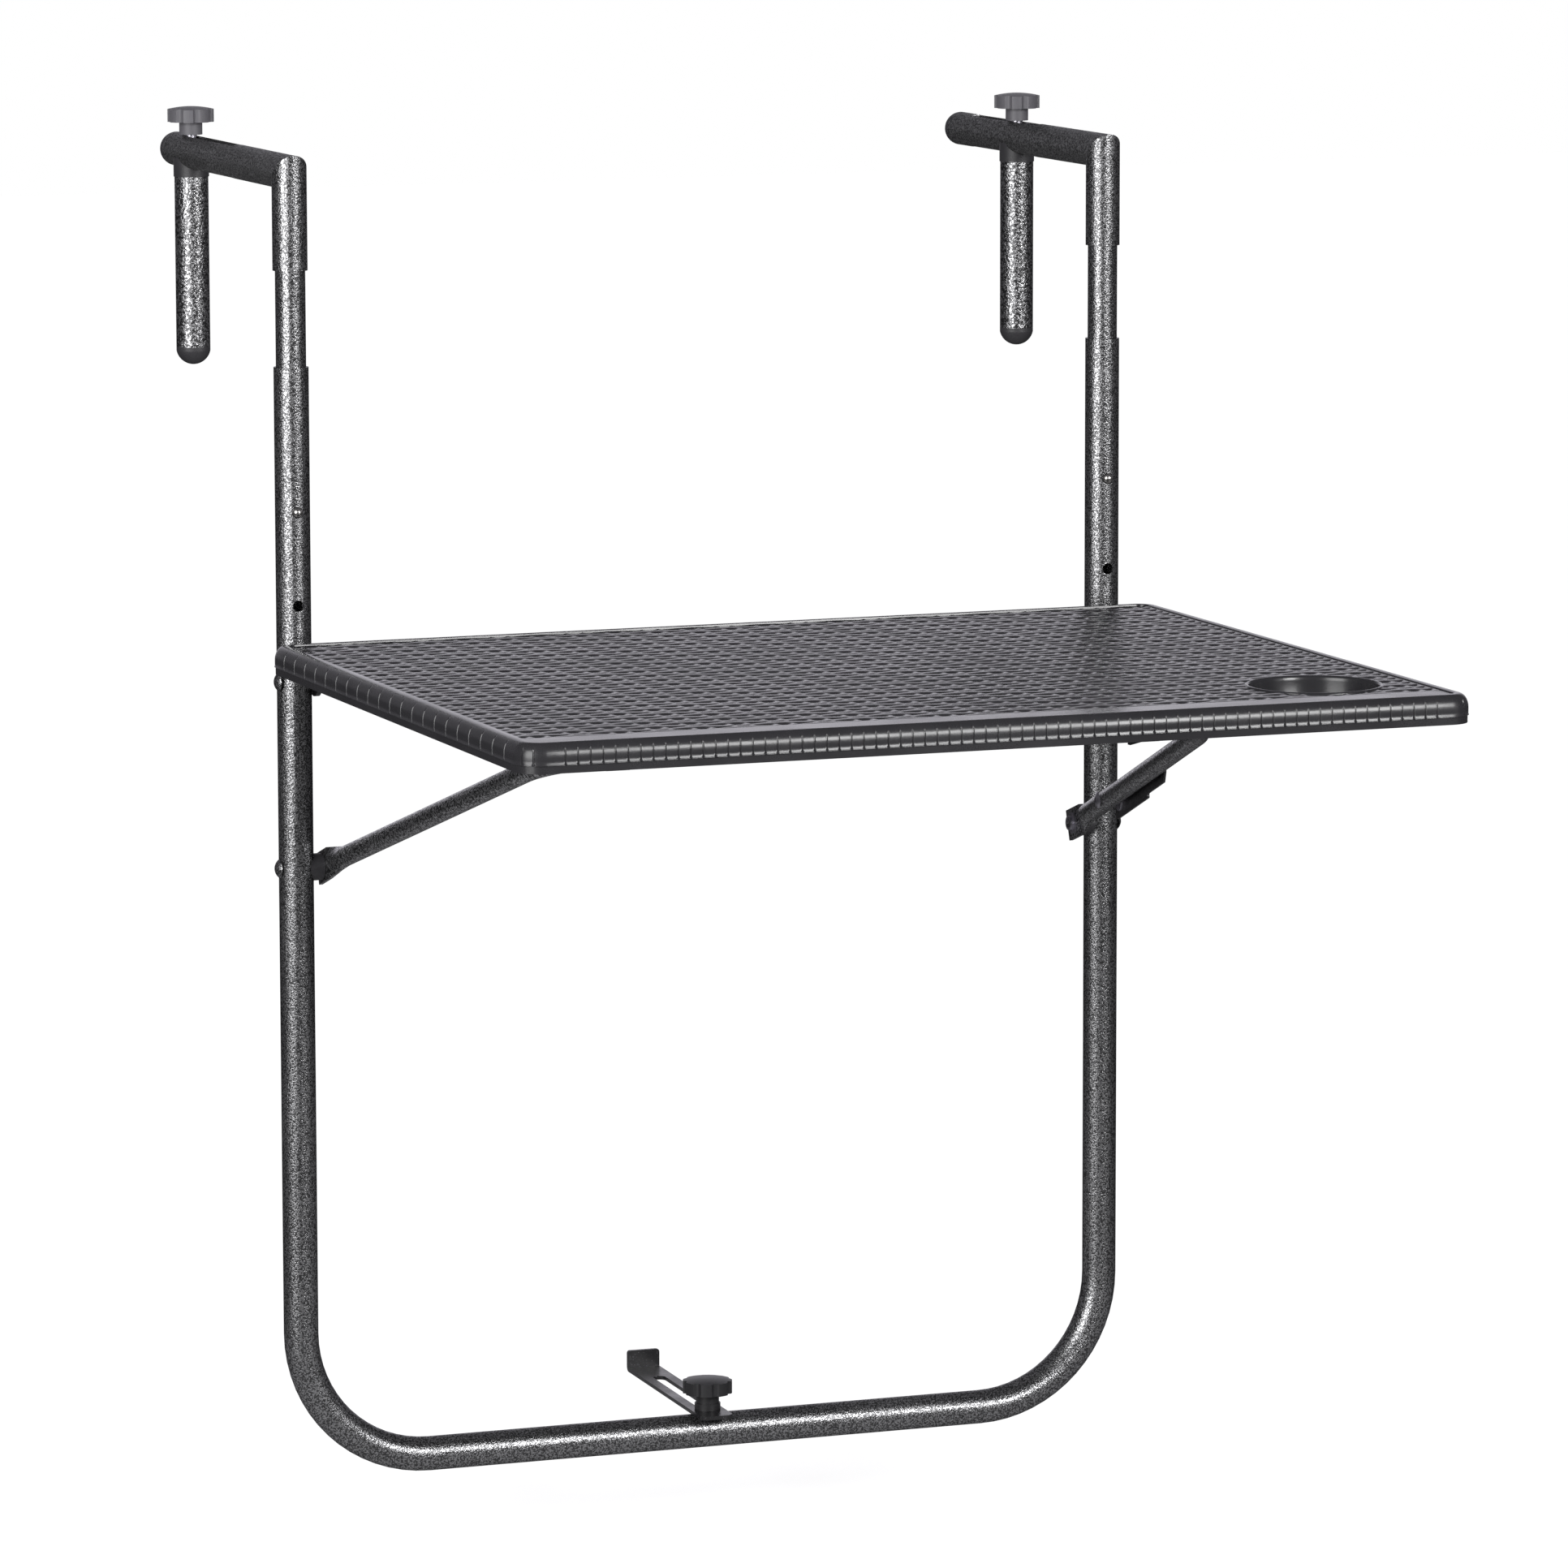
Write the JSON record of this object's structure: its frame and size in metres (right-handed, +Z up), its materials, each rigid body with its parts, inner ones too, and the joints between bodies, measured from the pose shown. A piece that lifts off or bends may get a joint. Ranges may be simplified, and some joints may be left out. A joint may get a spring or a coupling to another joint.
{
  "type": "folding balcony table",
  "caption": "Folding table that hooks over a balcony rail: tube frame with height-adjustable clamp hooks, hinged woven-look top with a cup recess, and a folding brace underneath.",
  "frame": {"origin": "mid-width, in the plane of the post axes, at the underside of the hook arms where they rest on the rail", "axes": "+Z up along the posts, +Y back over the rail along the hook arms, +X to the right as seen from the table's front; the table reaches out along -Y"},
  "size_m": [0.6, 0.7745, 0.8633],
  "materials": {
    "hammertone": "hammered lacquer on steel tube",
    "hammertone_coarse": "coarse hammered lacquer on steel tube",
    "brace_paint": "fine hammered lacquer on steel tube",
    "black_steel": "black lacquer on sheet steel",
    "zinc_steel": "zinc plated steel",
    "nickel": "nickel plated steel",
    "table_plastic": "moulded plastic, satin",
    "black_plastic": "moulded plastic, matt",
    "grey_plastic": "moulded plastic, matt grey"
  },
  "bodies": {
    "frame": {"u_frame": "hammertone", "bracket_stud": "zinc_steel", "hinge_bolt_left": "black_steel", "hinge_bolt_right": "black_steel", "hinge_nut_left": "zinc_steel", "hinge_nut_right": "zinc_steel", "brace_bolt_left": "black_steel", "brace_bolt_right": "black_steel", "brace_bush_left": "black_plastic", "brace_bush_right": "black_plastic", "brace_nut_left": "nickel", "brace_nut_right": "nickel"},
    "table": {"table_top": "table_plastic", "table_base": "table_plastic", "hinge_screws": "zinc_steel", "hinge_bracket_left": "black_steel", "hinge_bracket_right": "black_steel", "brace_clip_left": "black_plastic", "brace_clip_right": "black_plastic"},
    "brace": {"brace_frame": "brace_paint", "latch_rivet": "nickel", "latch_washer": "zinc_steel"},
    "latch": {"latch_lever": "black_steel"},
    "bracket": {"standoff_bracket": "black_steel"},
    "bracket_knob_body": {"bracket_knob": "black_plastic"},
    "hook_left": {"inner_tube_left": "hammertone", "upper_post_left": "hammertone", "hook_arm_left": "hammertone", "arm_end_cap_left": "black_plastic", "snap_spring_left": "zinc_steel"},
    "button_left": {"snap_button_left": "nickel"},
    "clamp_left": {"clamp_saddle_left": "black_plastic", "clamp_post_left": "hammertone_coarse", "clamp_post_cap_left": "black_plastic", "clamp_screw_left": "zinc_steel"},
    "clamp_knob_body_left": {"clamp_knob_left": "grey_plastic"},
    "hook_right": {"inner_tube_right": "hammertone", "upper_post_right": "hammertone", "hook_arm_right": "hammertone", "arm_end_cap_right": "black_plastic", "snap_spring_right": "zinc_steel"},
    "button_right": {"snap_button_right": "nickel"},
    "clamp_right": {"clamp_saddle_right": "black_plastic", "clamp_post_right": "hammertone_coarse", "clamp_post_cap_right": "black_plastic", "clamp_screw_right": "zinc_steel"},
    "clamp_knob_body_right": {"clamp_knob_right": "grey_plastic"}
  },
  "joints": [
    {"name": "table_fold", "type": "hinge", "parent": "frame", "child": "table", "pos_m": [0, -0.0025, -0.3085], "axis": [1, 0, 0], "range_deg": [0, 90]},
    {"name": "brace_fold", "type": "hinge", "parent": "frame", "child": "brace", "pos_m": [0, 0, -0.4275], "axis": [1, 0, 0], "range_deg": [0, 109]},
    {"name": "latch_swing", "type": "hinge", "parent": "brace", "child": "latch", "pos_m": [0.2464, -0.07961, -0.40071], "axis": [0.9923, -0.1176, 0.0396], "range_deg": [-10, 45]},
    {"name": "bracket_slide", "type": "slide", "parent": "frame", "child": "bracket", "axis": [0.0349, 0.9994, 0], "range_m": [-0.1015, 0]},
    {"name": "bracket_knob_turn", "type": "hinge", "parent": "frame", "child": "bracket_knob_body", "pos_m": [0, 0, -0.79], "axis": [0, 0, 1], "range_deg": [0, 720]},
    {"name": "height_left", "type": "slide", "parent": "frame", "child": "hook_left", "axis": [0, 0, 1], "range_m": [-0.059, 0], "deforming": ["snap_button_left", "snap_spring_left"]},
    {"name": "button_left", "type": "slide", "parent": "hook_left", "child": "button_left", "axis": [0, 1, 0], "range_m": [0, 0.0042], "stiffness_N_per_m": 1200, "springref_m": -0.002, "deforming": ["snap_spring_left"]},
    {"name": "clamp_slide_left", "type": "slide", "parent": "hook_left", "child": "clamp_left", "axis": [0, 1, 0], "range_m": [-0.1045, 0.0045]},
    {"name": "clamp_knob_turn_left", "type": "hinge", "parent": "clamp_left", "child": "clamp_knob_body_left", "pos_m": [-0.275, 0.214, 0.03], "axis": [0, 0, 1], "range_deg": [0, 720]},
    {"name": "height_right", "type": "slide", "parent": "frame", "child": "hook_right", "axis": [0, 0, 1], "range_m": [-0.059, 0], "deforming": ["snap_button_right", "snap_spring_right"]},
    {"name": "button_right", "type": "slide", "parent": "hook_right", "child": "button_right", "axis": [0, 1, 0], "range_m": [0, 0.0042], "stiffness_N_per_m": 1200, "springref_m": -0.002, "deforming": ["snap_spring_right"]},
    {"name": "clamp_slide_right", "type": "slide", "parent": "hook_right", "child": "clamp_right", "axis": [0, 1, 0], "range_m": [-0.0375, 0.0715]},
    {"name": "clamp_knob_turn_right", "type": "hinge", "parent": "clamp_right", "child": "clamp_knob_body_right", "pos_m": [0.275, 0.147, 0.03], "axis": [0, 0, 1], "range_deg": [0, 720]}
  ],
  "couplings": [
    {"joint": "brace_fold", "follows": "table_fold", "ratio": 1.2067}
  ]
}
